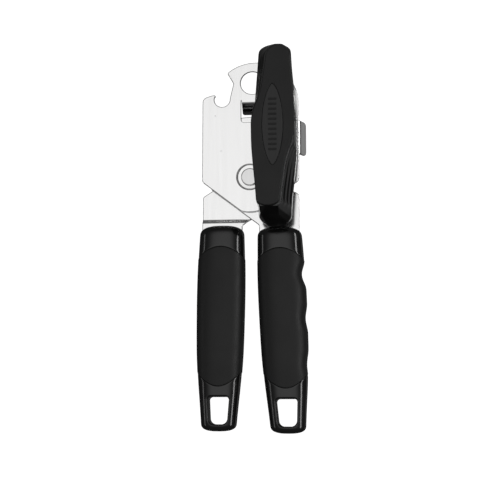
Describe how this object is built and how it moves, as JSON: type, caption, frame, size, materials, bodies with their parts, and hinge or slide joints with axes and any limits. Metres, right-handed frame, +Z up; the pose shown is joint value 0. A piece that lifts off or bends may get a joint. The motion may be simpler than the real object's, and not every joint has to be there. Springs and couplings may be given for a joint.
{
  "type": "manual can opener",
  "caption": "Hand-held can opener: crossed steel levers with long soft-grip handles, a front plate with a bottle-opener notch and hang hole, a cutting wheel, and a long turning knob.",
  "frame": {"origin": "centre of the bounding box in plan, on the surface that the opener lies on", "axes": "+X to the right, +Y from the handles to the jaws, +Z up out of the front plate toward the knob; the opener lies on its back"},
  "size_m": [0.061, 0.214, 0.0415],
  "materials": {
    "polished_steel": "polished sheet steel",
    "zinc_steel": "satin zinc-plated",
    "hardened_steel": "ground and hardened",
    "gloss_black": "moulded gloss",
    "soft_black": "soft-touch matt",
    "badge_grey": "fine satin"
  },
  "bodies": {
    "left_lever": {"front_plate": "polished_steel", "left_arm": "polished_steel", "left_handle": "gloss_black", "left_grip": "soft_black", "pivot_rivet": "polished_steel", "pivot_washer": "zinc_steel", "spacer_rivet_upper": "zinc_steel", "spacer_rivet_lower": "zinc_steel", "crank_bushing": "zinc_steel"},
    "right_lever": {"right_arm": "polished_steel", "right_handle": "gloss_black", "right_grip": "soft_black", "cutter_axle": "zinc_steel", "cutter_washer": "zinc_steel"},
    "crank": {"knob_core": "gloss_black", "knob_face": "soft_black", "knob_badge": "badge_grey", "crank_shaft": "hardened_steel", "crank_spring_washer": "zinc_steel", "feed_washer": "zinc_steel", "feed_wheel": "hardened_steel", "feed_nut": "zinc_steel"},
    "cutter": {"cutting_wheel": "hardened_steel"}
  },
  "joints": [
    {"name": "lever_pivot", "type": "hinge", "parent": "left_lever", "child": "right_lever", "pos_m": [-0.00117, 0.03371, 0.009], "axis": [0, 0, 1], "range_deg": [0, 30]},
    {"name": "crank_turn", "type": "hinge", "parent": "left_lever", "child": "crank", "pos_m": [0.01383, 0.05551, 0.009], "axis": [0, 0, 1], "continuous": true},
    {"name": "cutting_wheel_spin", "type": "hinge", "parent": "right_lever", "child": "cutter", "pos_m": [-0.00117, 0.06101, 0.00245], "axis": [0, 0, 1], "continuous": true}
  ]
}
